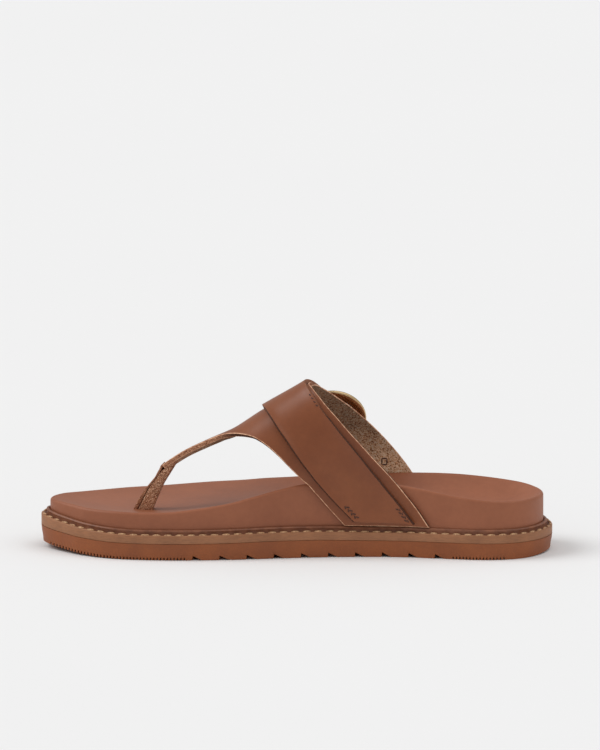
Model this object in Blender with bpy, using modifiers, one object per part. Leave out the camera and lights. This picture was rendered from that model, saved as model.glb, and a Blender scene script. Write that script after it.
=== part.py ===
"""Toe post sandal for the right foot: a T-shaped leather vamp and a wide buckled instep strap on a
contoured footbed, a stitched welt and a rubber outsole.

Metres, +Z up. The toe points to -X and the medial side faces -Y. The origin is on the floor,
under the middle of the sole.
"""

import math

import bmesh
import bpy
from mathutils import Matrix, Vector

# Sole
SOLE_LENGTH = 0.2550
BALL_WIDTH = 0.0960
HEEL_WIDTH = 0.0660
OUTSOLE_THICK = 0.0080
OUTSOLE_DRAFT = 0.0010
WAIST_RISE = 0.0006
TOE_SPRING = 0.0029
HEEL_ROLL = 0.0010
WELT_THICK = 0.0043
WELT_TOE_RISE = 0.0016
WELT_WIDTH = 0.0045
WELT_ARRIS = 0.0004
BEAD_HEIGHT = 0.0025
BEAD_WIDTH = 0.0016
CHANNEL_DEPTH = 0.0008
CHANNEL_WIDTH = 0.0007
SEAT_DEPTH = 0.0010
RIM_HEIGHT = 0.0376
RIM_ROUND = 0.0015
CUP_DEPTH = 0.0095

# Notches under the waist
NOTCH_COUNT = 10
NOTCH_FIRST = -0.0491
NOTCH_PITCH = 0.01343
NOTCH_WIDTH = 0.0050
NOTCH_HEIGHT = 0.0023
NOTCH_STEEP = 0.0003

# Upper
INSTEP_HEIGHT = 0.0806
FOREFOOT_LEAN = 0.08
TOE_STRIP_LEAN = 0.31
UPPER_WALL = 0.0023
STRIP_TIP_WIDTH = 0.0125
STRIP_ROOT_WIDTH = 0.0160
STRAP_WALL = 0.0020

# Toe post
POST_WIDTH = 0.0090
POST_DEPTH = 0.0094
POST_LEAN = 0.0147
POST_SWAY = -0.0015
COVER_WALL = 0.0020
TIP_CLEARANCE = 0.0018

# Buckle
RING_RADIUS = 0.0168
RING_BAND = 0.0052
RING_THICK = 0.0023
RING_LIFT = 0.0050
RING_GIRTH = 0.674
RING_ALONG = 0.556
PRONG_WIRE = 0.0022
PRONG_HOLE = 0.0052
TAB_WALL = 0.0011
TAB_WIDTH = 0.0110
TAB_SLOT = 0.0032
BUCKLE_RISE = 0.0083

# Fit between pieces
GAP = 0.0003

# Step along the last for working out its normal
LAST_STEP = 0.0008

# Outline of the sole at the welt. Each row: share of the length from the toe, then the medial and
# the lateral edge as shares of the width at that place.
OUTLINE = (
    (0.000, -0.125, -0.125),
    (0.045, -0.315, 0.080),
    (0.085, -0.405, 0.185),
    (0.155, -0.485, 0.335),
    (0.250, -0.503, 0.443),
    (0.320, -0.484, 0.480),
    (0.400, -0.445, 0.494),
    (0.478, -0.392, 0.490),
    (0.560, -0.366, 0.505),
    (0.640, -0.375, 0.525),
    (0.715, -0.405, 0.546),
    (0.790, -0.460, 0.545),
    (0.890, -0.482, 0.508),
    (0.960, -0.360, 0.385),
    (1.000, 0.015, 0.015),
)
WAIST_START = 0.45
WAIST_END = 0.80
# Shares of the length that the toe's spring, the heel's roll and the welt's rise reach over
TOE_SPRING_REACH = 0.21
HEEL_ROLL_REACH = 0.05
WELT_RISE_REACH = 0.20

# Rim of the footbed. Each row: share of the length, medial and lateral rim as shares of RIM_HEIGHT,
# and the depth of the hollow as a share of CUP_DEPTH.
FOOTBED_RIM = (
    (0.020, 0.650, 0.655, 0.08),
    (0.085, 0.628, 0.628, 0.15),
    (0.145, 0.624, 0.612, 0.24),
    (0.200, 0.620, 0.606, 0.31),
    (0.255, 0.632, 0.617, 0.34),
    (0.310, 0.676, 0.638, 0.36),
    (0.370, 0.738, 0.660, 0.42),
    (0.420, 0.817, 0.691, 0.50),
    (0.475, 0.908, 0.718, 0.62),
    (0.530, 0.975, 0.753, 0.74),
    (0.620, 1.000, 0.798, 0.86),
    (0.710, 0.962, 0.838, 0.94),
    (0.770, 0.908, 0.851, 0.98),
    (0.815, 0.856, 0.846, 1.00),
    (0.865, 0.811, 0.824, 1.00),
    (0.915, 0.779, 0.798, 0.96),
    (0.980, 0.761, 0.766, 0.90),
)
CUP_FULLNESS = 2.4
CUP_END = 12

# Ridge of the last. Each row: share of the length, ridge as a share of BALL_WIDTH, and height as a
# share of INSTEP_HEIGHT.
RIDGE = (
    (0.230, -0.205, 0.466),
    (0.255, -0.193, 0.528),
    (0.290, -0.177, 0.600),
    (0.331, -0.156, 0.662),
    (0.365, -0.135, 0.708),
    (0.386, -0.125, 0.741),
    (0.436, -0.104, 0.844),
    (0.520, -0.083, 1.000),
    (0.618, -0.063, 1.203),
    (0.735, -0.042, 1.450),
    (0.794, -0.030, 1.560),
)

# Shares of the length between which the lean of the toe strip fades into the forefoot's
LEAN_START = 0.35
LEAN_END = 0.43

# The vamp. Girth runs from 0 on the ridge through 1 at the footbed's rim, and on by WALL_GIRTH
# down the footbed's wall to the welt.
WALL_GIRTH = 0.2
STRIP_ROOT = 0.3590
# Front edge of a wing. Each row: way down the wing from the strip, share of the length.
WING_FRONT = (
    (0.00, 0.3590),
    (0.08, 0.3790),
    (0.16, 0.3950),
    (0.24, 0.4100),
    (0.32, 0.4240),
    (0.41, 0.4365),
    (0.51, 0.4505),
    (0.61, 0.4645),
    (0.71, 0.4790),
    (0.81, 0.4940),
    (0.91, 0.5110),
    (1.00, 0.5300),
    (1.06, 0.5500),
    (1.12, 0.5710),
    (1.20, 0.6015),
)
# Rear edge of the vamp. Each row: girth, then the medial and the lateral share of the length.
VAMP_REAR = (
    (0.00, 0.529, 0.530),
    (0.10, 0.532, 0.533),
    (0.20, 0.537, 0.538),
    (0.33, 0.547, 0.548),
    (0.50, 0.567, 0.572),
    (0.67, 0.598, 0.610),
    (0.78, 0.625, 0.641),
    (0.89, 0.660, 0.676),
    (1.00, 0.706, 0.713),
    (1.10, 0.743, 0.743),
    (1.20, 0.770, 0.770),
)
STRIP_COLUMNS = 6
STRIP_ROWS = 9
WING_COLUMNS = 10
WALL_COLUMNS = 3
WING_ROWS = 9
WING_CROWDING = 1.5

# The instep strap. Each row: girth, negative on the medial side, front and rear edge as shares of
# the length, and lift off the vamp as a share of BUCKLE_RISE.
INSTEP_STRAP = (
    (-1.18, 0.618, 0.743, 0.00),
    (-1.09, 0.581, 0.712, 0.00),
    (-1.00, 0.549, 0.678, 0.00),
    (-0.93, 0.533, 0.652, 0.00),
    (-0.84, 0.516, 0.625, 0.00),
    (-0.75, 0.502, 0.602, 0.00),
    (-0.66, 0.490, 0.583, 0.00),
    (-0.50, 0.471, 0.557, 0.00),
    (-0.25, 0.452, 0.535, 0.00),
    (0.00, 0.443, 0.526, 0.00),
    (0.25, 0.455, 0.535, 0.00),
    (0.51, 0.490, 0.558, 0.00),
    (0.67, 0.521, 0.589, 0.06),
    (0.75, 0.538, 0.606, 0.62),
    (0.82, 0.551, 0.622, 1.00),
    (0.92, 0.574, 0.645, 0.66),
    (1.00, 0.594, 0.658, 0.44),
    (1.05, 0.612, 0.665, 0.34),
    (1.09, 0.634, 0.662, 0.29),
)
STRAP_SKEW = 0.07
STRAP_COLUMNS = 50
STRAP_ROWS = 5

# The buckle's tab on the last. Each row: girth, middle of the tab as a share of the length.
TAB_COURSE = (
    (1.20, 0.680),
    (1.12, 0.663),
    (1.04, 0.641),
    (1.00, 0.628),
    (0.93, 0.616),
)
TAB_COLUMNS = 6
TAB_FOLD_STEPS = 6

# The toe post in side view. Each row: way up the post, lean as a share of POST_LEAN.
POST_COURSE = (
    (0.00, 0.00),
    (0.20, 0.13),
    (0.40, 0.27),
    (0.56, 0.39),
    (0.78, 0.61),
    (0.90, 0.73),
    (1.00, 0.83),
    (1.24, 0.95),
)
POST_ALONG = 0.1842
POST_ACROSS = -0.1750

SOLE_STATIONS = 60
FOOTBED_COLUMNS = 12


def follow(rows, column, at):
    """Value of a table's column at a place, on a smooth curve through its rows."""
    last = len(rows) - 1
    at = min(max(at, rows[0][0]), rows[last][0])
    k = 0
    while k < last - 1 and at > rows[k + 1][0]:
        k += 1
    slopes = []
    for i in (k, k + 1):
        before = rows[max(i - 1, 0)]
        after = rows[min(i + 1, last)]
        slopes.append((after[column] - before[column]) / (after[0] - before[0]))
    span = rows[k + 1][0] - rows[k][0]
    t = (at - rows[k][0]) / span
    start = rows[k][column] * (1 + 2 * t) * (1 - t) ** 2 + span * slopes[0] * t * (1 - t) ** 2
    end = rows[k + 1][column] * t * t * (3 - 2 * t) - span * slopes[1] * t * t * (1 - t)
    return start + end


def mix(a, b, share):
    return a + (b - a) * share


def ease(share):
    share = min(max(share, 0.0), 1.0)
    return share * share * (3 - 2 * share)


def turn_at(along):
    """Angle round the outline, 0 at the toe and pi at the heel, for a share of the length."""
    return math.acos(1 - 2 * along)


def along_at(turn):
    return (1 - math.cos(turn)) / 2


OUTLINE_BY_TURN = [(turn_at(row[0]), row[1], row[2]) for row in OUTLINE]


def raw_edge(turn, side):
    """Distance of the welt's edge from the heel's middle line, side -1 medial and 1 lateral."""
    waist = ease((along_at(turn) - WAIST_START) / (WAIST_END - WAIST_START))
    column = 1 if side < 0 else 2
    return follow(OUTLINE_BY_TURN, column, turn) * mix(BALL_WIDTH, HEEL_WIDTH, waist)


def outline_middle():
    turns = [math.pi * i / 240 for i in range(241)]
    medial = min(raw_edge(turn, -1) for turn in turns)
    lateral = max(raw_edge(turn, 1) for turn in turns)
    return (medial + lateral) / 2


MIDDLE = outline_middle()


def edge(turn, side, inset=0.0):
    """Point of the outline, drawn in by an inset."""
    x = -(SOLE_LENGTH / 2 - inset) * math.cos(turn)
    y = raw_edge(turn, side) - MIDDLE - side * inset * math.sin(turn)
    return x, y


def place(along):
    """X for a share of the length from the toe."""
    return (along - 0.5) * SOLE_LENGTH


def share(x):
    return x / SOLE_LENGTH + 0.5


# Heights of the sole, all by share of the length

def spring(along, reach, rise):
    return rise * max(0.0, 1 - along / reach) ** 2


def ground_line(along):
    toe = spring(along, TOE_SPRING_REACH, TOE_SPRING)
    heel = spring(1 - along, HEEL_ROLL_REACH, HEEL_ROLL)
    return toe + heel


def outsole_top(along):
    waist = math.sin(math.pi * min(max((along - 0.3) / 0.4, 0.0), 1.0)) ** 2
    return OUTSOLE_THICK + spring(along, TOE_SPRING_REACH, TOE_SPRING) + WAIST_RISE * waist


def welt_bottom(along):
    return outsole_top(along) + GAP


def welt_top(along):
    return welt_bottom(along) + WELT_THICK + spring(along, WELT_RISE_REACH, WELT_TOE_RISE)


def bead_top(along):
    return welt_top(along) + BEAD_HEIGHT


def seat(along):
    return welt_top(along) - SEAT_DEPTH


def rim(along, side):
    return RIM_HEIGHT * follow(FOOTBED_RIM, 1 if side < 0 else 2, along)


def hollow(turn, across):
    """Height of the footbed's top, across from -1 on the medial rim to 1 on the lateral rim."""
    along = along_at(turn)
    level = mix(rim(along, -1), rim(along, 1), (across + 1) / 2)
    depth = CUP_DEPTH * follow(FOOTBED_RIM, 3, along) * (1 - abs(math.cos(turn)) ** CUP_END)
    return level - depth * (1 - abs(across) ** CUP_FULLNESS)


def footbed_height(x, y):
    inset = WELT_WIDTH + RIM_ROUND
    turn = math.acos(-x / (SOLE_LENGTH / 2 - inset))
    medial = edge(turn, -1, inset)[1]
    lateral = edge(turn, 1, inset)[1]
    return hollow(turn, 2 * (y - medial) / (lateral - medial) - 1)


# The last over the footbed

def last_point(x, girth):
    """Point of the last: girth 0 on the ridge, 1 at the rim, more down the wall; negative is medial."""
    side = -1 if girth < 0 else 1
    along = share(x)
    turn = math.acos(-x / (SOLE_LENGTH / 2 - WELT_WIDTH))
    wall = edge(turn, side, WELT_WIDTH)[1] + side * GAP
    rim_height = rim(along, side)
    way = abs(girth)
    if way > 1:
        foot = bead_top(along) + GAP
        return Vector((x, wall, mix(rim_height, foot, (way - 1) / WALL_GIRTH)))
    ridge = BALL_WIDTH * follow(RIDGE, 1, along)
    crown = INSTEP_HEIGHT * follow(RIDGE, 2, along)
    angle = way * math.pi / 2
    half = abs(wall - ridge)
    tilt = mix(TOE_STRIP_LEAN, FOREFOOT_LEAN, ease((along - LEAN_START) / (LEAN_END - LEAN_START)))
    lean = side * tilt * half * math.sin(angle) * math.cos(angle)
    return Vector((
        x,
        ridge + side * half * math.sin(angle),
        mix(rim_height, crown, math.cos(angle)) - lean,
    ))


def last_normal(x, girth):
    bit = 0.012
    along = last_point(x + LAST_STEP, girth) - last_point(x - LAST_STEP, girth)
    if abs(abs(girth) - 1) < bit:
        side = -1 if girth < 0 else 1
        out = along.cross(Vector((0, 0, -side)))
    else:
        out = along.cross(last_point(x, girth + bit) - last_point(x, girth - bit))
    return out.normalized()


def on_last(x, girth, lift):
    return last_point(x, girth) + last_normal(x, girth) * lift


def last_height(x, y):
    """Height of the last over a place near its ridge."""
    ridge = last_point(x, 0).y
    side = -1 if y < ridge else 1
    reach = abs(last_point(x, side).y - ridge)
    return last_point(x, side * math.asin(abs(y - ridge) / reach) * 2 / math.pi).z


# Making objects

def clear_scene():
    for item in list(bpy.data.objects):
        bpy.data.objects.remove(item, do_unlink=True)


def make_material(name, colour, roughness, metallic=0.0):
    material = bpy.data.materials.new(name)
    material.use_nodes = True
    shader = material.node_tree.nodes["Principled BSDF"]
    shader.inputs["Base Color"].default_value = (*colour, 1.0)
    shader.inputs["Roughness"].default_value = roughness
    shader.inputs["Metallic"].default_value = metallic
    return material


def add_object(name, data, collection, material=None):
    item = bpy.data.objects.new(name, data)
    collection.objects.link(item)
    if material is not None:
        data.materials.append(material)
    return item


def finish_mesh(name, bm, collection, material, crease=40):
    bmesh.ops.recalc_face_normals(bm, faces=bm.faces)
    mesh = bpy.data.meshes.new(name)
    bm.to_mesh(mesh)
    bm.free()
    mesh.shade_smooth()
    mesh.set_sharp_from_angle(angle=math.radians(crease))
    return add_object(name, mesh, collection, material)


def outline_ring(bm, turns, inset, height):
    """Loop of vertices round the outline: medial side toe to heel, lateral side heel to toe."""
    ring = []
    for side, order in ((-1, turns), (1, list(reversed(turns)))):
        for turn in order:
            x, y = edge(turn, side, inset)
            ring.append(bm.verts.new((x, y, height(along_at(turn), side))))
    return ring


def join_rings(bm, rings):
    for low, high in zip(rings, rings[1:]):
        count = len(low)
        for i in range(count):
            k = (i + 1) % count
            bm.faces.new((low[i], low[k], high[k], high[i]))


def close_across(bm, ring, columns=1, height=None, turns=None):
    """Closes a loop with strips from the medial to the lateral side."""
    half = len(ring) // 2
    lines = []
    for i in range(half):
        medial = ring[i]
        lateral = ring[len(ring) - 1 - i]
        line = [medial]
        inner = columns if 0 < i < half - 1 else 1
        for j in range(1, inner):
            x = mix(medial.co.x, lateral.co.x, j / inner)
            y = mix(medial.co.y, lateral.co.y, j / inner)
            line.append(bm.verts.new((x, y, height(turns[i], 2 * j / inner - 1))))
        line.append(lateral)
        lines.append(line)
    for one, two in zip(lines, lines[1:]):
        if len(one) == len(two):
            for a, b, c, d in zip(one, one[1:], two[1:], two):
                bm.faces.new((a, b, c, d))
        else:
            bm.faces.new(one + list(reversed(two)))


def sole_turns():
    return [math.pi * i / SOLE_STATIONS for i in range(1, SOLE_STATIONS)]


def sheet_object(name, points, wall, collection, material):
    """Leather cut to a grid of points, with its wall built outwards. None leaves a gap."""
    bm = bmesh.new()
    grid = []
    for row in points:
        grid.append([None if spot is None else bm.verts.new(spot) for spot in row])
    for upper_row, lower_row in zip(grid, grid[1:]):
        for i in range(len(upper_row) - 1):
            corners = (upper_row[i], lower_row[i], lower_row[i + 1], upper_row[i + 1])
            if None not in corners:
                bm.faces.new(corners)
    mesh = bpy.data.meshes.new(name)
    bm.to_mesh(mesh)
    bm.free()
    mesh.shade_smooth()
    item = add_object(name, mesh, collection, material)
    thick = item.modifiers.new("wall", "SOLIDIFY")
    thick.thickness = wall
    thick.offset = 1
    thick.use_even_offset = True
    thick.use_quality_normals = True
    return item


def cut(item, cutter):
    cutter.display_type = "WIRE"
    cutter.hide_render = True
    boolean = item.modifiers.new(cutter.name, "BOOLEAN")
    boolean.operation = "DIFFERENCE"
    boolean.solver = "EXACT"
    boolean.object = cutter


# Sole pieces

def notch_turns():
    """Stations that carry the notches' corners."""
    turns = []
    for k in range(NOTCH_COUNT):
        front = NOTCH_FIRST + k * NOTCH_PITCH
        for x in (front, front + NOTCH_STEEP, front + NOTCH_WIDTH):
            turns.append(turn_at(share(x)))
    return turns


def notch_depth(along):
    x = place(along) - NOTCH_FIRST
    k = math.floor(x / NOTCH_PITCH + 1e-6)
    into = x - k * NOTCH_PITCH
    if k < 0 or k >= NOTCH_COUNT or into > NOTCH_WIDTH:
        return 0.0
    if into < NOTCH_STEEP:
        return NOTCH_HEIGHT * max(into, 0.0) / NOTCH_STEEP
    return NOTCH_HEIGHT * (NOTCH_WIDTH - into) / (NOTCH_WIDTH - NOTCH_STEEP)


def make_outsole(collection):
    corners = notch_turns()
    clear = 0.4 * math.pi / SOLE_STATIONS
    turns = [t for t in sole_turns() if min(abs(t - c) for c in corners) > clear]
    turns = sorted(turns + corners)
    bm = bmesh.new()
    bottom = outline_ring(bm, turns, OUTSOLE_DRAFT, lambda a, s: ground_line(a) + notch_depth(a))
    middle = outline_ring(
        bm, turns, OUTSOLE_DRAFT / 2,
        lambda a, s: mix(ground_line(a) + NOTCH_HEIGHT, outsole_top(a), 0.35))
    top = outline_ring(bm, turns, 0.0, lambda a, s: outsole_top(a))
    join_rings(bm, [bottom, middle, top])
    close_across(bm, bottom)
    close_across(bm, top)
    rubber = make_material("outsole rubber", (0.27, 0.085, 0.03), 0.6)
    return finish_mesh("outsole", bm, collection, rubber)


def make_welt(collection):
    turns = sole_turns()
    bead_outer = WELT_WIDTH - GAP - BEAD_WIDTH
    channel = bead_outer - CHANNEL_WIDTH
    steps = (
        (0.0, lambda a, s: welt_bottom(a)),
        (0.0, lambda a, s: welt_top(a) - WELT_ARRIS),
        (WELT_ARRIS, lambda a, s: welt_top(a)),
        (channel, lambda a, s: welt_top(a)),
        (channel + 0.3 * CHANNEL_WIDTH, lambda a, s: welt_top(a) - CHANNEL_DEPTH),
        (bead_outer, lambda a, s: welt_top(a) - CHANNEL_DEPTH / 2),
        (bead_outer + 0.15 * BEAD_WIDTH, lambda a, s: bead_top(a) - 0.3 * BEAD_HEIGHT),
        (bead_outer + 0.50 * BEAD_WIDTH, lambda a, s: bead_top(a)),
        (bead_outer + BEAD_WIDTH, lambda a, s: bead_top(a)),
        (bead_outer + BEAD_WIDTH, lambda a, s: seat(a)),
    )
    bm = bmesh.new()
    rings = [outline_ring(bm, turns, inset, height) for inset, height in steps]
    join_rings(bm, rings)
    close_across(bm, rings[0])
    close_across(bm, rings[-1])
    leather = make_material("welt leather", (0.31, 0.15, 0.085), 0.65)
    return finish_mesh("welt", bm, collection, leather)


def make_footbed(collection):
    turns = sole_turns()
    soft = RIM_ROUND * (1 - math.sqrt(0.5))
    steps = (
        (WELT_WIDTH, lambda a, s: seat(a) + GAP),
        (WELT_WIDTH, lambda a, s: rim(a, s) - RIM_ROUND),
        (WELT_WIDTH + soft, lambda a, s: rim(a, s) - soft),
        (WELT_WIDTH + RIM_ROUND, lambda a, s: rim(a, s)),
    )
    bm = bmesh.new()
    rings = [outline_ring(bm, turns, inset, height) for inset, height in steps]
    join_rings(bm, rings)
    close_across(bm, rings[0])
    close_across(bm, rings[-1], FOOTBED_COLUMNS, hollow, turns)
    leather = make_material("footbed leather", (0.27, 0.10, 0.055), 0.5)
    return finish_mesh("footbed", bm, collection, leather, 60)


# Upper pieces

def post_side(way, depth):
    """X of a line of the post in side view, at a way up it and a depth behind its front."""
    front = place(POST_ALONG) + POST_LEAN * follow(POST_COURSE, 1, way)
    return front + depth


def strip_tip():
    """X of the toe strip's end, close behind the post's cover."""
    return post_side(POST_COURSE[-1][0], COVER_WALL) + TIP_CLEARANCE


def strip_girth(x, across):
    """Girth on the toe strip, across from -1 on its medial edge to 1 on its lateral edge."""
    held = min(x, place(STRIP_ROOT))
    way = (held - strip_tip()) / (place(STRIP_ROOT) - strip_tip())
    half = mix(STRIP_TIP_WIDTH, STRIP_ROOT_WIDTH, way) / 2
    side = -1 if across < 0 else 1
    reach = abs(last_point(held, side).y - last_point(held, 0).y)
    return side * math.asin(abs(across) * half / reach) * 2 / math.pi


def wing_girth(side, down):
    if down > 1:
        return side * down
    return side * mix(abs(strip_girth(place(STRIP_ROOT), side)), 1.0, down)


def upper_columns():
    """Columns from the medial welt over the ridge to the lateral welt."""
    downs = [((i + 1) / WING_COLUMNS) ** WING_CROWDING for i in range(WING_COLUMNS)]
    downs += [1 + WALL_GIRTH * (i + 1) / WALL_COLUMNS for i in range(WALL_COLUMNS)]
    medial = [("wing", -1, down) for down in reversed(downs)]
    strip = [("strip", 0, 2 * i / STRIP_COLUMNS - 1) for i in range(STRIP_COLUMNS + 1)]
    lateral = [("wing", 1, down) for down in downs]
    return medial + strip + lateral


def upper_points():
    rows = []
    columns = upper_columns()
    for i in range(STRIP_ROWS + WING_ROWS + 1):
        row = []
        for kind, side, down in columns:
            if kind == "strip":
                girth = strip_girth(place(STRIP_ROOT), down)
            else:
                girth = wing_girth(side, down)
            rear = place(follow(VAMP_REAR, 1 if girth < 0 else 2, abs(girth)))
            if i >= STRIP_ROWS:
                front = place(STRIP_ROOT)
                if kind == "wing":
                    front = place(follow(WING_FRONT, 1, down))
                x = mix(front, rear, (i - STRIP_ROWS) / WING_ROWS)
                row.append(last_point(x, girth))
            elif kind == "strip":
                x = mix(strip_tip(), place(STRIP_ROOT), i / STRIP_ROWS)
                row.append(last_point(x, strip_girth(x, down)))
            else:
                row.append(None)
        rows.append(row)
    return rows


def make_upper(collection):
    leather = make_material("vamp leather", (0.20, 0.075, 0.045), 0.55)
    return sheet_object("upper", upper_points(), UPPER_WALL, collection, leather)


def strap_point(girth, across):
    x = place(mix(follow(INSTEP_STRAP, 1, girth), follow(INSTEP_STRAP, 2, girth), across))
    skewed = girth + STRAP_SKEW * (across - 0.5)
    lift = UPPER_WALL + GAP + BUCKLE_RISE * follow(INSTEP_STRAP, 3, skewed)
    return on_last(x, girth, lift)


def make_instep_strap(collection):
    first = INSTEP_STRAP[0][0]
    final = INSTEP_STRAP[-1][0]
    rows = []
    for j in range(STRAP_ROWS + 1):
        girths = [mix(first, final, i / STRAP_COLUMNS) for i in range(STRAP_COLUMNS + 1)]
        rows.append([strap_point(girth, j / STRAP_ROWS) for girth in girths])
    leather = make_material("strap leather", (0.19, 0.07, 0.042), 0.5)
    return sheet_object("instep_strap", rows, STRAP_WALL, collection, leather)


# Toe post pieces

def make_post_piece(name, near, far, top, collection, material):
    """Lofts one layer of the post between two depths behind its front. Its head follows the strip."""
    bm = bmesh.new()
    middle = BALL_WIDTH * POST_ACROSS
    rings = []
    for way in [row[0] for row in POST_COURSE if row[0] <= top]:
        ring = []
        for depth, sign in ((near, -1), (near, 1), (far, 1), (far, -1)):
            x = post_side(way, depth)
            y = middle + way * POST_SWAY + sign * POST_WIDTH / 2
            foot = footbed_height(post_side(0.0, depth), y) + GAP
            head = last_height(post_side(1.0, depth), y) - 2 * GAP
            ring.append(bm.verts.new((x, y, mix(foot, head, way))))
        rings.append(ring)
    join_rings(bm, rings)
    bm.faces.new(rings[0])
    bm.faces.new(rings[-1])
    return finish_mesh(name, bm, collection, material)


def make_toe_post(collection):
    stack = make_material("post leather stack", (0.24, 0.11, 0.07), 0.85)
    cover = make_material("post cover leather", (0.18, 0.065, 0.04), 0.5)
    front = COVER_WALL + GAP
    make_post_piece("toe_post", front, POST_DEPTH, 1.0, collection, stack)
    make_post_piece("post_cover", 0.0, COVER_WALL, POST_COURSE[-1][0], collection, cover)


# Buckle pieces

def buckle_frame():
    """Place of the ring: X across the strap, Y down the strap, Z out of the foot."""
    x = place(RING_ALONG)
    normal = last_normal(x, RING_GIRTH)
    lean = 0.06
    ahead = strap_point(RING_GIRTH + lean, 0.5) - strap_point(RING_GIRTH - lean, 0.5)
    down = (ahead - normal * ahead.dot(normal)).normalized()
    side = down.cross(normal)
    spot = on_last(x, RING_GIRTH, RING_LIFT)
    frame = Matrix((side, down, normal)).transposed().to_4x4()
    frame.translation = spot
    return frame


def put(item, frame):
    item.location = frame.to_translation()
    item.rotation_euler = frame.to_euler()


RING_MIDDLE = RING_RADIUS - RING_BAND / 2


def make_ring(frame, collection, metal):
    """Band turned about the ring's axis, flat below and domed above."""
    bm = bmesh.new()
    corners = []
    for i in range(14):
        angle = math.pi - 2 * math.pi * i / 14
        across = math.copysign(abs(math.cos(angle)) ** 0.7, math.cos(angle))
        high = math.copysign(abs(math.sin(angle)) ** 0.7, math.sin(angle))
        spot = (RING_MIDDLE + RING_BAND / 2 * across, 0.0, RING_THICK / 2 * high)
        corners.append(bm.verts.new(spot))
    for a, b in zip(corners, corners[1:] + corners[:1]):
        bm.edges.new((a, b))
    mesh = bpy.data.meshes.new("buckle_ring")
    bm.to_mesh(mesh)
    bm.free()
    item = add_object("buckle_ring", mesh, collection, metal)
    turn = item.modifiers.new("turn", "SCREW")
    turn.axis = "Z"
    turn.steps = 40
    turn.render_steps = 40
    turn.use_merge_vertices = True
    turn.merge_threshold = 0.00001
    put(item, frame)


def make_prong(frame, collection, metal):
    wire = PRONG_WIRE / 2
    inner = RING_MIDDLE - RING_BAND / 2 - GAP - wire
    rest = RING_THICK / 2 + GAP + wire
    course = (
        (inner, -1.1 * RING_THICK / 2),
        (0.72 * inner, 0.4 * wire),
        (0.42 * inner, 1.45 * rest),
        (0.0, 1.50 * rest),
        (-0.6 * inner, 1.25 * rest),
        (-RING_MIDDLE, 1.04 * rest),
        (-RING_MIDDLE - 0.35 * RING_BAND, 0.95 * rest),
    )
    curve = bpy.data.curves.new("buckle_prong", "CURVE")
    curve.dimensions = "3D"
    curve.bevel_depth = wire
    curve.bevel_resolution = 2
    curve.use_fill_caps = True
    line = curve.splines.new("POLY")
    line.points.add(len(course) - 1)
    for point, (down, out) in zip(line.points, course):
        point.co = (0.0, down, out, 1.0)
    item = add_object("buckle_prong", curve, collection, metal)
    put(item, frame)


def make_strap_hole(frame, strap, cutters):
    inner = RING_MIDDLE - RING_BAND / 2 - GAP - PRONG_WIRE / 2
    bm = bmesh.new()
    bmesh.ops.create_cone(
        bm, cap_ends=True, segments=16, radius1=PRONG_HOLE / 2, radius2=PRONG_HOLE / 2,
        depth=6 * STRAP_WALL)
    mesh = bpy.data.meshes.new("prong_hole")
    bm.to_mesh(mesh)
    bm.free()
    cutter = add_object("prong_hole", mesh, cutters)
    put(cutter, frame @ Matrix.Translation((0.0, 0.55 * inner, 0.0)))
    cut(strap, cutter)


def fold_course():
    """The tab's fold round the ring's lower side: way down from the band's inner edge, way out."""
    reach = RING_THICK / 2 + GAP + TAB_WALL
    centre = reach - 1.4 * GAP - TAB_WALL
    course = [(RING_BAND * 1.25, -reach)]
    for i in range(TAB_FOLD_STEPS + 1):
        angle = math.pi * i / TAB_FOLD_STEPS
        course.append((centre - reach * math.sin(angle), -reach * math.cos(angle)))
    course.append((RING_BAND * 0.2, reach))
    return course


def make_tab(frame, collection, cutters):
    """Strap from the lateral welt up under the ring, folded round the ring's lower side."""
    lift = UPPER_WALL + GAP
    rows = []
    steps = 10
    first = TAB_COURSE[0][0]
    final = TAB_COURSE[-1][0]
    course = [(-row[0], row[1]) for row in TAB_COURSE]
    for i in range(steps + 1):
        girth = mix(first, final, i / steps)
        middle = place(follow(course, 1, -girth))
        line = []
        for j in range(TAB_COLUMNS + 1):
            off = TAB_WIDTH * (j / TAB_COLUMNS - 0.5)
            line.append(on_last(middle + off, girth, lift))
        rows.append(line)
    for down, out in fold_course():
        line = []
        for j in range(TAB_COLUMNS + 1):
            off = TAB_WIDTH * (j / TAB_COLUMNS - 0.5)
            bar = math.sqrt((RING_MIDDLE - RING_BAND / 2) ** 2 - off ** 2)
            line.append(frame @ Vector((off, bar + down, out)))
        rows.append(line)
    leather = make_material("tab leather", (0.19, 0.07, 0.042), 0.5)
    tab = sheet_object("buckle_tab", rows, TAB_WALL, collection, leather)
    bm = bmesh.new()
    bmesh.ops.create_cube(bm, size=1.0)
    bmesh.ops.scale(bm, vec=(TAB_SLOT, 3 * RING_BAND / 2, 4 * RING_THICK), verts=bm.verts)
    mesh = bpy.data.meshes.new("tab_slot")
    bm.to_mesh(mesh)
    bm.free()
    cutter = add_object("tab_slot", mesh, cutters)
    put(cutter, frame @ Matrix.Translation((0.0, RING_MIDDLE - RING_BAND / 2, 0.0)))
    cut(tab, cutter)


def make_sandal():
    clear_scene()
    parts = bpy.data.collections.new("toe_post_sandal")
    cutters = bpy.data.collections.new("cutters")
    bpy.context.scene.collection.children.link(parts)
    bpy.context.scene.collection.children.link(cutters)
    make_outsole(parts)
    make_welt(parts)
    make_footbed(parts)
    make_upper(parts)
    make_toe_post(parts)
    strap = make_instep_strap(parts)
    frame = buckle_frame()
    metal = make_material("pale gold metal", (0.80, 0.60, 0.36), 0.28, 1.0)
    make_ring(frame, parts, metal)
    make_prong(frame, parts, metal)
    make_strap_hole(frame, strap, cutters)
    make_tab(frame, parts, cutters)


make_sandal()
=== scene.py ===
"""Looks of the toe post sandal: finishes, cut edges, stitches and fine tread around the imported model."""

import math

import bmesh
import bpy
from mathutils import Matrix, Vector


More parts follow.
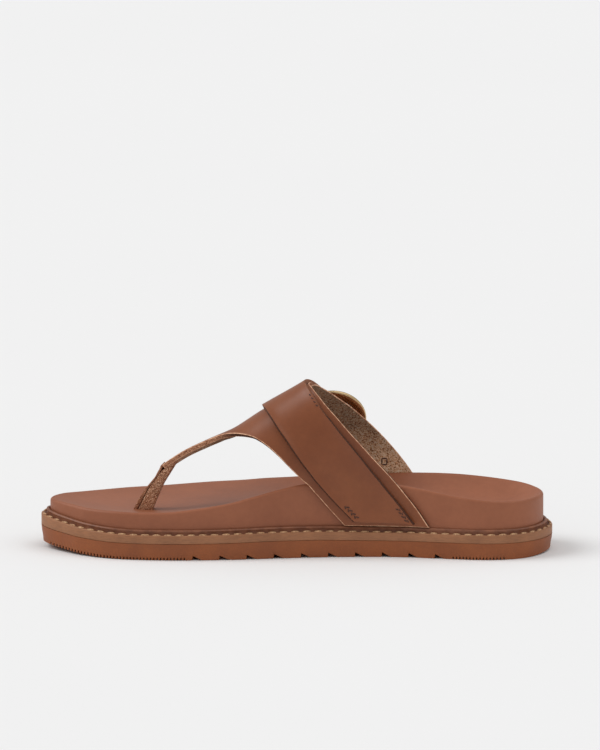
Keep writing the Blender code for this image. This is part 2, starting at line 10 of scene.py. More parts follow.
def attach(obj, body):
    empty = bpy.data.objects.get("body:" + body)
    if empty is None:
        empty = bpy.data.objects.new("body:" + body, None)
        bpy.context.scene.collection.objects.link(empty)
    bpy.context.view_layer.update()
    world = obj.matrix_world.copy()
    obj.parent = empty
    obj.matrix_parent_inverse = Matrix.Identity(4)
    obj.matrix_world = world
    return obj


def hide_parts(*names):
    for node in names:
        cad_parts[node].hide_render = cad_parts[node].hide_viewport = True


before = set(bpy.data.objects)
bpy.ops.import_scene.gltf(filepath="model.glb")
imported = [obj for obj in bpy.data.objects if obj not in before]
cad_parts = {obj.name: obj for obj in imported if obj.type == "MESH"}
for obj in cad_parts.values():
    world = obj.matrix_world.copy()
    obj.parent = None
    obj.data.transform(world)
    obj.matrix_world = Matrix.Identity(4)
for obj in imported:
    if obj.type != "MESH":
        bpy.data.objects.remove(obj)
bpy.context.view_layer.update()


# Outsole
# One moulded sheet of rust-coloured rubber, cut to the sole's outline. Sawtooth notches cross it
# under the waist, and fine ribs cross the tread under the forefoot and the heel.

SOLE_LENGTH = 0.2550
BALL_WIDTH = 0.0960
HEEL_WIDTH = 0.0660
WAIST_START = 0.45
WAIST_END = 0.80
# Each row: share of the length from the toe, medial and lateral edge as shares of the width there.
OUTLINE = (
    (0.000, -0.125, -0.125),
    (0.045, -0.315, 0.080),
    (0.085, -0.405, 0.185),
    (0.155, -0.485, 0.335),
    (0.250, -0.503, 0.443),
    (0.320, -0.484, 0.480),
    (0.400, -0.445, 0.494),
    (0.478, -0.392, 0.490),
    (0.560, -0.366, 0.505),
    (0.640, -0.375, 0.525),
    (0.715, -0.405, 0.546),
    (0.790, -0.460, 0.545),
    (0.890, -0.482, 0.508),
    (0.960, -0.360, 0.385),
    (1.000, 0.015, 0.015),
)
GAP = 0.0003
OUTSOLE_THICK = 0.0080
OUTSOLE_DRAFT = 0.0010
WAIST_RISE = 0.0006
TOE_SPRING = 0.0029
TOE_SPRING_REACH = 0.21
HEEL_ROLL = 0.0010
HEEL_ROLL_REACH = 0.05
NOTCH_COUNT = 10
NOTCH_FIRST = -0.0491
NOTCH_PITCH = 0.01343
NOTCH_WIDTH = 0.0050
NOTCH_HEIGHT = 0.0023
NOTCH_STEEP = 0.0003
RIB_PITCH = 0.0017
RIB_GROOVE = 0.0009
RIB_SLOPE = 0.0001
RIB_DEPTH = 0.0012
RIBBED = ((-0.1230, -0.0510), (0.0810, 0.1090))
RIB_END = 1e-6
SOLE_STATIONS = 180
SOLE_COLUMNS = 8
OUTLINE_SAMPLES = 240
ARCH_START = 0.3
ARCH_SPAN = 0.4
SEAM_ROUND = 0.00015
TREAD_INSET = 0.0003
TREAD_ROUND = 0.0002
OVER_NOTCHES = 1.1
MERGE = 0.000002


def follow(rows, column, at):
    """Value of a table's column at a place, on a smooth curve through its rows."""
    last = len(rows) - 1
    at = min(max(at, rows[0][0]), rows[last][0])
    k = 0
    while k < last - 1 and at > rows[k + 1][0]:
        k += 1
    slopes = []
    for i in (k, k + 1):
        before = rows[max(i - 1, 0)]
        after = rows[min(i + 1, last)]
        slopes.append((after[column] - before[column]) / (after[0] - before[0]))
    span = rows[k + 1][0] - rows[k][0]
    t = (at - rows[k][0]) / span
    start = rows[k][column] * (1 + 2 * t) * (1 - t) ** 2 + span * slopes[0] * t * (1 - t) ** 2
    end = rows[k + 1][column] * t * t * (3 - 2 * t) - span * slopes[1] * t * t * (1 - t)
    return start + end


def mix(a, b, share):
    return a + (b - a) * share


def ease(share):
    share = min(max(share, 0.0), 1.0)
    return share * share * (3 - 2 * share)


def turn_at(along):
    """Angle round the outline, 0 at the toe and pi at the heel, for a share of the length."""
    return math.acos(1 - 2 * min(max(along, 0.0), 1.0))


def along_at(turn):
    return (1 - math.cos(turn)) / 2


def place(along):
    """X for a share of the length from the toe."""
    return (along - 0.5) * SOLE_LENGTH


def share(x):
    return x / SOLE_LENGTH + 0.5


OUTLINE_BY_TURN = [(turn_at(row[0]), row[1], row[2]) for row in OUTLINE]


def raw_edge(turn, side):
    """Distance of the welt's edge from the heel's middle line, side -1 medial and 1 lateral."""
    waist = ease((along_at(turn) - WAIST_START) / (WAIST_END - WAIST_START))
    column = 1 if side < 0 else 2
    return follow(OUTLINE_BY_TURN, column, turn) * mix(BALL_WIDTH, HEEL_WIDTH, waist)


turns_round = [math.pi * i / OUTLINE_SAMPLES for i in range(OUTLINE_SAMPLES + 1)]
medial_edge = min(raw_edge(turn, -1) for turn in turns_round)
lateral_edge = max(raw_edge(turn, 1) for turn in turns_round)
MIDDLE = (medial_edge + lateral_edge) / 2


def edge(turn, side, inset=0.0):
    """Point of the outline, drawn in by an inset."""
    x = -(SOLE_LENGTH / 2 - inset) * math.cos(turn)
    y = raw_edge(turn, side) - MIDDLE - side * inset * math.sin(turn)
    return x, y


def spring(along, reach, rise):
    return rise * max(0.0, 1 - along / reach) ** 2


def ground_line(along):
    toe = spring(along, TOE_SPRING_REACH, TOE_SPRING)
    heel = spring(1 - along, HEEL_ROLL_REACH, HEEL_ROLL)
    return toe + heel


def outsole_top(along):
    waist = math.sin(math.pi * min(max((along - ARCH_START) / ARCH_SPAN, 0.0), 1.0)) ** 2
    return OUTSOLE_THICK + spring(along, TOE_SPRING_REACH, TOE_SPRING) + WAIST_RISE * waist


def welt_bottom(along):
    return outsole_top(along) + GAP


def groove_starts():
    """Each groove across the tread: X of its front, steep side, width and depth."""
    grooves = []
    for k in range(NOTCH_COUNT):
        grooves.append((NOTCH_FIRST + k * NOTCH_PITCH, NOTCH_STEEP, NOTCH_WIDTH, NOTCH_HEIGHT))
    for first, final in RIBBED:
        for k in range(int((final - first) / RIB_PITCH)):
            grooves.append((first + k * RIB_PITCH, RIB_SLOPE, RIB_GROOVE, RIB_DEPTH))
    return grooves


def tread_stations():
    """Turns of the outsole's stations, with one at each corner of each groove."""
    corners = []
    for front, steep, width, _ in groove_starts():
        corners += [front, front + steep, front + width]
        if width == RIB_GROOVE:
            corners.append(front + width - steep)
    corners = sorted(turn_at(share(x)) for x in corners)
    clear = 0.5 * math.pi / SOLE_STATIONS
    even = [math.pi * i / SOLE_STATIONS for i in range(SOLE_STATIONS + 1)]
    return sorted([t for t in even if min(abs(t - c) for c in corners) > clear] + corners)


def groove_depth(along):
    x = place(along)
    for front, steep, width, depth in groove_starts():
        into = x - front
        if -RIB_END < into < width + RIB_END:
            if into < steep:
                return depth * max(into, 0.0) / steep
            if width == RIB_GROOVE:
                return depth * min(1.0, max(0.0, width - into) / steep)
            return depth * (width - into) / (width - steep)
    return 0.0


def sole_sheet(bm, turns, columns, inset, height):
    """Lays a sheet over the outline. It keeps each vertex's turn, and way across from -1 to 1."""
    turn_of = bm.verts.layers.float.get("turn") or bm.verts.layers.float.new("turn")
    across_of = bm.verts.layers.float.get("across") or bm.verts.layers.float.new("across")
    made = bmesh.ops.create_grid(bm, x_segments=len(turns) - 1, y_segments=columns, size=0.5)
    for vertex in made["verts"]:
        turn = turns[round((vertex.co.x + 0.5) * (len(turns) - 1))]
        across = 2 * vertex.co.y
        medial = edge(turn, -1, inset)
        lateral = edge(turn, 1, inset)
        x = mix(medial[0], lateral[0], (across + 1) / 2)
        y = mix(medial[1], lateral[1], (across + 1) / 2)
        vertex[turn_of] = turn
        vertex[across_of] = across
        vertex.co = (x, y, height(turn, across))
    bmesh.ops.remove_doubles(bm, verts=bm.verts, dist=MERGE)


def sole_wall(bm, rings):
    """Raises the sheet's edge through rings, each an inset, a height and, if not 0, a finish."""
    turn_of = bm.verts.layers.float["turn"]
    across_of = bm.verts.layers.float["across"]
    for inset, height, *slot in rings:
        rim_edges = [side for side in bm.edges if side.is_boundary]
        for item in bmesh.ops.extrude_edge_only(bm, edges=rim_edges)["geom"]:
            if isinstance(item, bmesh.types.BMFace):
                item.material_index = slot[0] if slot else 0
            if isinstance(item, bmesh.types.BMVert):
                side = -1 if item[across_of] < 0 else 1
                x, y = edge(item[turn_of], side, inset)
                item.co = (x, y, height(item[turn_of], side))


def shown_piece(name, bm, finishes, crease=35):
    """Closes a bmesh as a smooth-shaded piece on the sandal."""
    mesh = bpy.data.meshes.new(name)
    bm.to_mesh(mesh)
    bm.free()
    mesh.shade_smooth()
    mesh.set_sharp_from_angle(angle=math.radians(crease))
    for finish in finishes:
        mesh.materials.append(finish)
    piece = bpy.data.objects.new(name, mesh)
    bpy.context.scene.collection.objects.link(piece)
    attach(piece, "root")
    return piece


def colour(red, green, blue):
    """Linear colour of 8-bit screen values."""
    screen = [value / 255 for value in (red, green, blue)]
    linear = [v / 12.92 if v <= 0.04045 else ((v + 0.055) / 1.055) ** 2.4 for v in screen]
    return (*linear, 1.0)


class Finish:
    """A material's nodes, with its pattern on Object coordinates."""

    def __init__(self, name, roughness, **sockets):
        self.material = bpy.data.materials.new(name)
        self.material.use_nodes = True
        self.nodes = self.material.node_tree.nodes
        self.links = self.material.node_tree.links
        self.shader = self.nodes["Principled BSDF"]
        self.shader.inputs["Roughness"].default_value = roughness
        for socket, value in sockets.items():
            self.shader.inputs[socket.replace("_", " ")].default_value = value
        self.coordinates = self.nodes.new("ShaderNodeTexCoord").outputs["Object"]

    def noise(self, scale, detail=3.0, roughness=0.55, distortion=0.0, stretch=(1, 1, 1)):
        mapping = self.nodes.new("ShaderNodeMapping")
        mapping.inputs["Scale"].default_value = stretch
        self.links.new(self.coordinates, mapping.inputs["Vector"])
        node = self.nodes.new("ShaderNodeTexNoise")
        node.inputs["Scale"].default_value = scale
        node.inputs["Detail"].default_value = detail
        node.inputs["Roughness"].default_value = roughness
        node.inputs["Distortion"].default_value = distortion
        self.links.new(mapping.outputs["Vector"], node.inputs["Vector"])
        return node.outputs["Fac"]

    def cells(self, scale, feature="F1"):
        node = self.nodes.new("ShaderNodeTexVoronoi")
        node.feature = feature
        node.inputs["Scale"].default_value = scale
        self.links.new(self.coordinates, node.inputs["Vector"])
        return node.outputs["Distance"]

    def ramp(self, source, *stops):
        """Colours or greys of a source, each stop a place and a value."""
        node = self.nodes.new("ShaderNodeValToRGB")
        node.color_ramp.interpolation = "EASE"
        elements = node.color_ramp.elements
        while len(elements) < len(stops):
            elements.new(0.5)
        for element, (at, value) in zip(elements, stops):
            element.position = at
            element.color = value if isinstance(value, tuple) else (value, value, value, 1.0)
        self.links.new(source, node.inputs["Fac"])
        return node.outputs["Color"]

    def blend(self, kind, share_of, first, second):
        node = self.nodes.new("ShaderNodeMix")
        node.data_type = "RGBA"
        node.blend_type = kind
        factor, one, other = node.inputs["Factor"], node.inputs[6], node.inputs[7]
        for socket, value in ((factor, share_of), (one, first), (other, second)):
            if isinstance(value, bpy.types.NodeSocket):
                self.links.new(value, socket)
            else:
                socket.default_value = value
        return node.outputs[2]

    def bump(self, source, height, strength=1.0):
        """Adds relief to the surface, its height in metres."""
        node = self.nodes.new("ShaderNodeBump")
        node.inputs["Distance"].default_value = height
        node.inputs["Strength"].default_value = strength
        self.links.new(source, node.inputs["Height"])
        normal = self.shader.inputs["Normal"]
        if normal.is_linked:
            self.links.new(normal.links[0].from_socket, node.inputs["Normal"])
        self.links.new(node.outputs["Normal"], normal)

    def rising(self, low, high, below, above, axis="Z"):
        """Grey that goes from one value to another between two places along an axis."""
        apart = self.nodes.new("ShaderNodeSeparateXYZ")
        self.links.new(self.coordinates, apart.inputs["Vector"])
        node = self.nodes.new("ShaderNodeMapRange")
        for socket, value in (("From Min", low), ("From Max", high), ("To Min", below), ("To Max", above)):
            node.inputs[socket].default_value = value
        self.links.new(apart.outputs[axis], node.inputs["Value"])
        return node.outputs["Result"]

    def paint(self, source):
        self.links.new(source, self.shader.inputs["Base Color"])

    def gloss(self, source, smooth, rough):
        node = self.nodes.new("ShaderNodeMapRange")
        node.inputs["To Min"].default_value = smooth
        node.inputs["To Max"].default_value = rough
        self.links.new(source, node.inputs["Value"])
        self.links.new(node.outputs["Result"], self.shader.inputs["Roughness"])


rubber = Finish("outsole rubber", 0.6)
rubber_cloud = rubber.noise(60, 4)
rubber_fleck = rubber.noise(1500, 2)
rubber_tone = rubber.ramp(rubber_cloud, (0.3, colour(140, 74, 32)), (0.7, colour(154, 84, 39)))
rubber.paint(rubber.blend("MULTIPLY", 0.35, rubber_tone, rubber.ramp(rubber_fleck, (0.3, 0.6), (0.7, 1.0))))
rubber.gloss(rubber_cloud, 0.5, 0.68)
rubber.bump(rubber_fleck, 0.0001, 0.5)

turns = tread_stations()
bm = bmesh.new()

def tread(turn, _):
    return ground_line(along_at(turn)) + groove_depth(along_at(turn))


def tread_wall(rise):
    """Height of a ring up the outsole's wall, a share of the way from the notches to its top."""
    return lambda t, s: mix(
        ground_line(along_at(t)) + NOTCH_HEIGHT * OVER_NOTCHES, welt_bottom(along_at(t)), rise)


sole_sheet(bm, turns, SOLE_COLUMNS, OUTSOLE_DRAFT + TREAD_INSET, tread)
sole_wall(bm, (
    (OUTSOLE_DRAFT, lambda t, s: tread(t, s) + TREAD_ROUND),
    (OUTSOLE_DRAFT * 0.8, tread_wall(0.0)),
    (OUTSOLE_DRAFT * 0.3, tread_wall(0.5)),
    (0.0, tread_wall(1.0)),
    (SEAM_ROUND, tread_wall(1.0)),
))
sole_sheet(bm, turns, 1, SEAM_ROUND, tread_wall(1.0))
bmesh.ops.recalc_face_normals(bm, faces=bm.faces)
outsole = shown_piece("rubber_outsole", bm, [rubber.material])
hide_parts("outsole")


# Welt
# A leather midsole plate whose edge shows round the footbed. A raised bead runs inside a sunk
# channel that takes the stitches, and the cut edge is burnished.

WELT_THICK = 0.0043
WELT_TOE_RISE = 0.0016
WELT_RISE_REACH = 0.20
WELT_WIDTH = 0.0045
WELT_ROUND = 0.0005
BEAD_HEIGHT = 0.0025
BEAD_WIDTH = 0.0016
CHANNEL_DEPTH = 0.0008
CHANNEL_WIDTH = 0.0007
CHANNEL_LIP = 0.0004
CHANNEL_DIP = 0.0001
SEAT_DEPTH = 0.0010
BEAD_EDGE = WELT_WIDTH - GAP - BEAD_WIDTH


def welt_top(along):
    return welt_bottom(along) + WELT_THICK + spring(along, WELT_RISE_REACH, WELT_TOE_RISE)


def bead_top(along):
    return welt_top(along) + BEAD_HEIGHT


def seat(along):
    return welt_top(along) - SEAT_DEPTH


def over_welt(rise):
    return lambda t, s: welt_top(along_at(t)) + rise


burnished = Finish("burnished welt", 0.55)
welt_cloud = burnished.noise(90, 4)
welt_fibre = burnished.noise(900, 3, stretch=(0.35, 0.35, 2.0))
welt_tone = burnished.ramp(welt_cloud, (0.3, colour(147, 97, 63)), (0.7, colour(161, 108, 72)))
burnished.paint(burnished.blend(
    "MULTIPLY", 0.4, welt_tone, burnished.ramp(welt_fibre, (0.35, 0.62), (0.6, 1.0))))
burnished.gloss(welt_fibre, 0.45, 0.7)
burnished.bump(welt_fibre, 0.00008, 0.5)

# The bead and the sunk channel are a darker brown than the welt: partly the bead's own darker leather,
# partly painted shade in the channel and under the bead's rounded top.
beading = Finish("welt bead", 0.5)
bead_cloud = beading.noise(260, 4)
beading.paint(beading.ramp(bead_cloud, (0.3, colour(112, 64, 40)), (0.7, colour(140, 86, 58))))
beading.bump(bead_cloud, 0.0001, 0.4)

turns = [math.pi * i / SOLE_STATIONS for i in range(SOLE_STATIONS + 1)]
bm = bmesh.new()
sole_sheet(bm, turns, 1, WELT_ROUND, lambda t, s: welt_bottom(along_at(t)))
sole_wall(bm, (
    (WELT_ROUND * 0.3, lambda t, s: welt_bottom(along_at(t)) + WELT_ROUND * 0.3),
    (0.0, lambda t, s: welt_bottom(along_at(t)) + WELT_ROUND),
    (0.0, over_welt(-0.5 * WELT_THICK)),
    (0.0, over_welt(-WELT_ROUND)),
    (WELT_ROUND * 0.3, over_welt(-WELT_ROUND * 0.3)),
    (WELT_ROUND, over_welt(0.0)),
    (BEAD_EDGE - CHANNEL_WIDTH - CHANNEL_LIP, over_welt(-CHANNEL_DIP)),
    (BEAD_EDGE - CHANNEL_WIDTH, over_welt(-CHANNEL_DEPTH * 0.6), 1),
    (BEAD_EDGE - 0.3 * CHANNEL_WIDTH, over_welt(-CHANNEL_DEPTH), 1),
    (BEAD_EDGE, over_welt(-CHANNEL_DEPTH * 0.4), 1),
    (BEAD_EDGE + 0.20 * BEAD_WIDTH, over_welt(0.45 * BEAD_HEIGHT), 1),
    (BEAD_EDGE - 0.05 * BEAD_WIDTH, over_welt(0.70 * BEAD_HEIGHT), 1),
    (BEAD_EDGE + 0.10 * BEAD_WIDTH, over_welt(0.92 * BEAD_HEIGHT), 1),
    (BEAD_EDGE + 0.50 * BEAD_WIDTH, over_welt(BEAD_HEIGHT), 1),
    (BEAD_EDGE + 0.85 * BEAD_WIDTH, over_welt(0.92 * BEAD_HEIGHT), 1),
    (BEAD_EDGE + BEAD_WIDTH, over_welt(0.6 * BEAD_HEIGHT), 1),
    (BEAD_EDGE + BEAD_WIDTH, over_welt(-SEAT_DEPTH), 1),
))
sole_sheet(bm, turns, 1, BEAD_EDGE + BEAD_WIDTH, over_welt(-SEAT_DEPTH))
bmesh.ops.recalc_face_normals(bm, faces=bm.faces)
welt = shown_piece("leather_welt", bm, [burnished.material, beading.material], 50)
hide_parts("welt")


# Welt stitches
# Thick waxed thread in a lighter tan, one short capsule a stitch, laid along the channel all round
# the sole. Each sinks at its ends, where it goes through the welt.

STITCH_PITCH = 0.0058
STITCH_LENGTH = 0.0042
THREAD = 0.00118
STITCH_INSET = 0.0011
STITCH_TILT = 0.10
STITCH_SAMPLES = 720
UNEVEN_TURN = 2.4


def along_outline(inset, pitch):
    """Places round the outline, a pitch apart: turn, side, point and direction."""
    course = []
    for side, order in ((-1, range(STITCH_SAMPLES + 1)), (1, range(STITCH_SAMPLES, -1, -1))):
        for i in order:
            turn = math.pi * i / STITCH_SAMPLES
            course.append((turn, side, Vector((*edge(turn, side, inset), 0.0))))
    spots = []
    walked = 0.0
    for one, two in zip(course, course[1:]):
        step = (two[2] - one[2]).length
        if walked + step >= pitch:
            back = (pitch - walked) / step
            spots.append((two[0], two[1], one[2].lerp(two[2], back), (two[2] - one[2]).normalized()))
            walked -= pitch
        walked += step
    return spots


thread = Finish("waxed thread", 0.55)
thread_twist = thread.noise(1400, 2)
thread.paint(thread.ramp(thread_twist, (0.3, colour(140, 96, 62)), (0.7, colour(206, 164, 122))))
thread.bump(thread_twist, 0.0001, 0.7)

bm = bmesh.new()
for number, (turn, side, spot, ahead) in enumerate(along_outline(STITCH_INSET, STITCH_PITCH)):
    made = bmesh.ops.create_uvsphere(bm, u_segments=8, v_segments=6, radius=0.5)["verts"]
    height = welt_top(along_at(turn)) - CHANNEL_DEPTH * 0.35 + THREAD * 0.3
    uneven = math.sin(number * UNEVEN_TURN)
    heading = math.atan2(ahead.y, ahead.x) + STITCH_TILT * (0.5 + 0.3 * uneven)
    size = Matrix.Diagonal((STITCH_LENGTH * (1 + 0.05 * uneven), THREAD * 1.15, THREAD, 1.0))
    turned = Matrix.Translation((spot.x, spot.y, height)) @ Matrix.Rotation(heading, 4, "Z") @ size
    bmesh.ops.transform(bm, matrix=turned, verts=made)
stitches = shown_piece("welt_stitches", bm, [thread.material], 180)


# Footbed
# A moulded core wrapped in one piece of smooth leather: walls straight down to the welt, a soft
# rim, an arch on the medial side, a cup under the heel and a hollow that grows shallow towards the toe.

RIM_HEIGHT = 0.0376
RIM_ROUND = 0.0015
CUP_DEPTH = 0.0095
CUP_FULLNESS = 2.4
CUP_END = 12
RIM_STEPS = 5
WALL_STEPS = 4
FOOTBED_COLUMNS = 36
# Each row: share of the length, medial and lateral rim as shares of RIM_HEIGHT, and the depth of
# the hollow as a share of CUP_DEPTH.
FOOTBED_RIM = (
    (0.020, 0.650, 0.655, 0.08),
    (0.085, 0.628, 0.628, 0.15),
    (0.145, 0.624, 0.612, 0.24),
    (0.200, 0.620, 0.606, 0.31),
    (0.255, 0.632, 0.617, 0.34),
    (0.310, 0.676, 0.638, 0.36),
    (0.370, 0.738, 0.660, 0.42),
    (0.420, 0.817, 0.691, 0.50),
    (0.475, 0.908, 0.718, 0.62),
    (0.530, 0.975, 0.753, 0.74),
    (0.620, 1.000, 0.798, 0.86),
    (0.710, 0.962, 0.838, 0.94),
    (0.770, 0.908, 0.851, 0.98),
    (0.815, 0.856, 0.846, 1.00),
    (0.865, 0.811, 0.824, 1.00),
    (0.915, 0.779, 0.798, 0.96),
    (0.980, 0.761, 0.766, 0.90),
)


def rim(along, side):
    return RIM_HEIGHT * follow(FOOTBED_RIM, 1 if side < 0 else 2, along)


def hollow(turn, across):
    """Height of the footbed's top, across from -1 on the medial rim to 1 on the lateral rim."""
    along = along_at(turn)
    level = mix(rim(along, -1), rim(along, 1), (across + 1) / 2)
    depth = CUP_DEPTH * follow(FOOTBED_RIM, 3, along) * (1 - abs(math.cos(turn)) ** CUP_END)
    return level - depth * (1 - abs(across) ** CUP_FULLNESS)


def footbed_height(x, y):
    inset = WELT_WIDTH + RIM_ROUND
    turn = math.acos(-x / (SOLE_LENGTH / 2 - inset))
    medial = edge(turn, -1, inset)[1]
    lateral = edge(turn, 1, inset)[1]
    return hollow(turn, 2 * (y - medial) / (lateral - medial) - 1)


def smooth_leather(name, deep, light, roughness):
    """Smooth full-grain leather: soft clouding, a faint haze and a fine pebble."""
    leather = Finish(name, roughness, Specular_IOR_Level=0.36)
    cloud = leather.noise(28, 4)
    pebble = leather.cells(1500)
    haze = leather.noise(350, 3)
    tone = leather.ramp(cloud, (0.32, deep), (0.68, light))
    tone = leather.blend("MULTIPLY", 0.25, tone, leather.ramp(haze, (0.3, 0.78), (0.7, 1.0)))
    leather.paint(tone)
    leather.gloss(cloud, roughness - 0.06, roughness + 0.08)
    leather.bump(pebble, 0.00006, 0.35)
    leather.bump(haze, 0.0001, 0.15)
    return leather


wrap = smooth_leather("footbed wrap", colour(145, 86, 58), colour(155, 94, 65), 0.5)

bm = bmesh.new()
sole_sheet(bm, turns, 1, WELT_WIDTH, lambda t, s: seat(along_at(t)) + GAP)
wall = []
for k in range(1, WALL_STEPS + 1):
    wall.append((
        WELT_WIDTH,
        lambda t, s, k=k: mix(seat(along_at(t)) + GAP, rim(along_at(t), s) - RIM_ROUND, k / WALL_STEPS),
    ))
for k in range(1, RIM_STEPS + 1):
    angle = math.pi / 2 * k / RIM_STEPS
    wall.append((
        WELT_WIDTH + RIM_ROUND * (1 - math.cos(angle)),
        lambda t, s, a=angle: rim(along_at(t), s) - RIM_ROUND * (1 - math.sin(a)),
    ))
sole_wall(bm, wall)
sole_sheet(bm, turns, FOOTBED_COLUMNS, WELT_WIDTH + RIM_ROUND, hollow)
bmesh.ops.dissolve_degenerate(bm, edges=bm.edges, dist=0.000001)
bmesh.ops.recalc_face_normals(bm, faces=bm.faces)
footbed = shown_piece("wrapped_footbed", bm, [wrap.material], 60)
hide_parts("footbed")


# Upper
# One T-shaped piece of 2.3 mm leather, smooth outside and rough on its flesh side: a toe strip and
# two wings that go down over the footbed's rim and stop just above the welt's bead. Its edges are
# cut raw.

INSTEP_HEIGHT = 0.0806
FOREFOOT_LEAN = 0.08
TOE_STRIP_LEAN = 0.31
LEAN_START = 0.35
LEAN_END = 0.43
UPPER_WALL = 0.0023
STRIP_TIP_WIDTH = 0.0125
STRIP_ROOT_WIDTH = 0.0160
STRIP_ROOT = 0.3590
TIP_CLEARANCE = 0.0018
TIP_REACH = 0.0015
WALL_GIRTH = 0.2
WALL_SHARE = 0.25
WING_CROWDING = 1.5
STRIP_ROWS = 30
WING_ROWS = 36
STRIP_COLUMNS = 14
WING_COLUMNS = 44
EDGE_ROUND = 0.00034
SKIVED = 0.3
CREASE = 0.0005
CREASE_GIRTH = 0.985
CREASE_SPREAD = 0.02
# Ridge of the last. Each row: share of the length, ridge as a share of BALL_WIDTH, and height as a
# share of INSTEP_HEIGHT.
RIDGE = (
    (0.230, -0.205, 0.466),
    (0.255, -0.193, 0.528),
    (0.290, -0.177, 0.600),
    (0.331, -0.156, 0.662),
    (0.365, -0.135, 0.708),
    (0.386, -0.125, 0.741),
    (0.436, -0.104, 0.844),
    (0.520, -0.083, 1.000),
    (0.618, -0.063, 1.203),
    (0.735, -0.042, 1.450),
    (0.794, -0.030, 1.560),
)
# Front edge of a wing. Each row: way down the wing from the strip, share of the length.
WING_FRONT = (
    (0.00, 0.3590),
    (0.08, 0.3790),
    (0.16, 0.3950),
    (0.24, 0.4100),
    (0.32, 0.4240),
    (0.41, 0.4365),
    (0.51, 0.4505),
    (0.61, 0.4645),
    (0.71, 0.4790),
    (0.81, 0.4940),
    (0.91, 0.5110),
    (1.00, 0.5300),
    (1.06, 0.5500),
    (1.12, 0.5710),
    (1.20, 0.6015),
)
# Rear edge. Each row: girth, then the medial and the lateral share of the length.
VAMP_REAR = (
    (0.00, 0.529, 0.530),
    (0.10, 0.532, 0.533),
    (0.20, 0.537, 0.538),
    (0.33, 0.547, 0.548),
    (0.50, 0.567, 0.572),
    (0.67, 0.598, 0.610),
    (0.78, 0.625, 0.641),
    (0.89, 0.660, 0.676),
    (1.00, 0.706, 0.713),
    (1.10, 0.743, 0.743),
    (1.20, 0.770, 0.770),
)
# The toe post in side view. Each row: way up the post, lean as a share of POST_LEAN.
POST_COURSE = (
    (0.00, 0.00),
    (0.20, 0.13),
    (0.40, 0.27),
    (0.56, 0.39),
    (0.78, 0.61),
    (0.90, 0.73),
    (1.00, 0.83),
    (1.24, 0.95),
)
POST_ALONG = 0.1842
POST_ACROSS = -0.1750
POST_WIDTH = 0.0090
POST_DEPTH = 0.0094
POST_LEAN = 0.0147
POST_SWAY = -0.0015
COVER_WALL = 0.0020


def last_point(x, girth):
    """Point of the last: girth 0 on the ridge, 1 at the rim, more down the wall; negative is medial."""
    side = -1 if girth < 0 else 1
    along = share(x)
    turn = math.acos(-x / (SOLE_LENGTH / 2 - WELT_WIDTH))
    wall_y = edge(turn, side, WELT_WIDTH)[1] + side * GAP
    rim_height = rim(along, side)
    way = abs(girth)
    if way > 1:
        return Vector((x, wall_y, mix(rim_height, bead_top(along) + GAP, (way - 1) / WALL_GIRTH)))
    ridge = BALL_WIDTH * follow(RIDGE, 1, along)
    crown = INSTEP_HEIGHT * follow(RIDGE, 2, along)
    angle = way * math.pi / 2
    half = abs(wall_y - ridge)
    tilt = mix(TOE_STRIP_LEAN, FOREFOOT_LEAN, ease((along - LEAN_START) / (LEAN_END - LEAN_START)))
    lean = side * tilt * half * math.sin(angle) * math.cos(angle)
    y = ridge + side * half * math.sin(angle)
    return Vector((x, y, mix(rim_height, crown, math.cos(angle)) - lean))


def last_normal(x, girth):
    step = 0.0008
    bit = 0.012
    along = last_point(x + step, girth) - last_point(x - step, girth)
    if abs(abs(girth) - 1) < bit:
        side = -1 if girth < 0 else 1
        return along.cross(Vector((0, 0, -side))).normalized()
    return along.cross(last_point(x, girth + bit) - last_point(x, girth - bit)).normalized()


def on_last(x, girth, lift):
    return last_point(x, girth) + last_normal(x, girth) * lift


def last_height(x, y):
    """Height of the last over a place near its ridge."""
    ridge = last_point(x, 0).y
    side = -1 if y < ridge else 1
    reach = abs(last_point(x, side).y - ridge)
    return last_point(x, side * math.asin(abs(y - ridge) / reach) * 2 / math.pi).z


def post_side(way, depth):
    """X of a line of the post in side view, at a way up it and a depth behind its front."""
    return place(POST_ALONG) + POST_LEAN * follow(POST_COURSE, 1, way) + depth


STRIP_TIP = post_side(POST_COURSE[-1][0], COVER_WALL) + TIP_CLEARANCE


def strip_girth(x, across):
    """Girth on the toe strip, across from -1 on its medial edge to 1 on its lateral edge."""
    held = min(x, place(STRIP_ROOT))
    way = (held - STRIP_TIP) / (place(STRIP_ROOT) - STRIP_TIP)
    half = mix(STRIP_TIP_WIDTH, STRIP_ROOT_WIDTH, way) / 2
    side = -1 if across < 0 else 1
    reach = abs(last_point(held, side).y - last_point(held, 0).y)
    return side * math.asin(abs(across) * half / reach) * 2 / math.pi


def vamp_point(way, across):
    """Point of the T: way 0 to 1 along the strip, 1 to 2 over the wings; across from welt to welt."""
    half = STRIP_COLUMNS / 2 / (STRIP_COLUMNS / 2 + WING_COLUMNS)
    side = -1 if across < 0 else 1
    if abs(across) <= half + 1e-6:
        girth = strip_girth(place(STRIP_ROOT), across / half)
        front = place(STRIP_ROOT)
    else:
        down = (abs(across) - half) / (1 - half)
        if down < 1 - WALL_SHARE:
            down = (down / (1 - WALL_SHARE)) ** WING_CROWDING
            girth = side * mix(abs(strip_girth(place(STRIP_ROOT), side)), 1.0, down)
        else:
            down = 1 + WALL_GIRTH * (down - 1 + WALL_SHARE) / WALL_SHARE
            girth = side * down
        front = place(follow(WING_FRONT, 1, down))
    if way < 1:
        x = mix(STRIP_TIP - TIP_REACH, place(STRIP_ROOT), way)
        return last_point(x, strip_girth(x, across / half))
    rear = place(follow(VAMP_REAR, 1 if girth < 0 else 2, abs(girth)))
    dip = CREASE * math.exp(-((abs(girth) - CREASE_GIRTH) / CREASE_SPREAD) ** 2)
    return on_last(mix(front, rear, way - 1), girth, -dip)


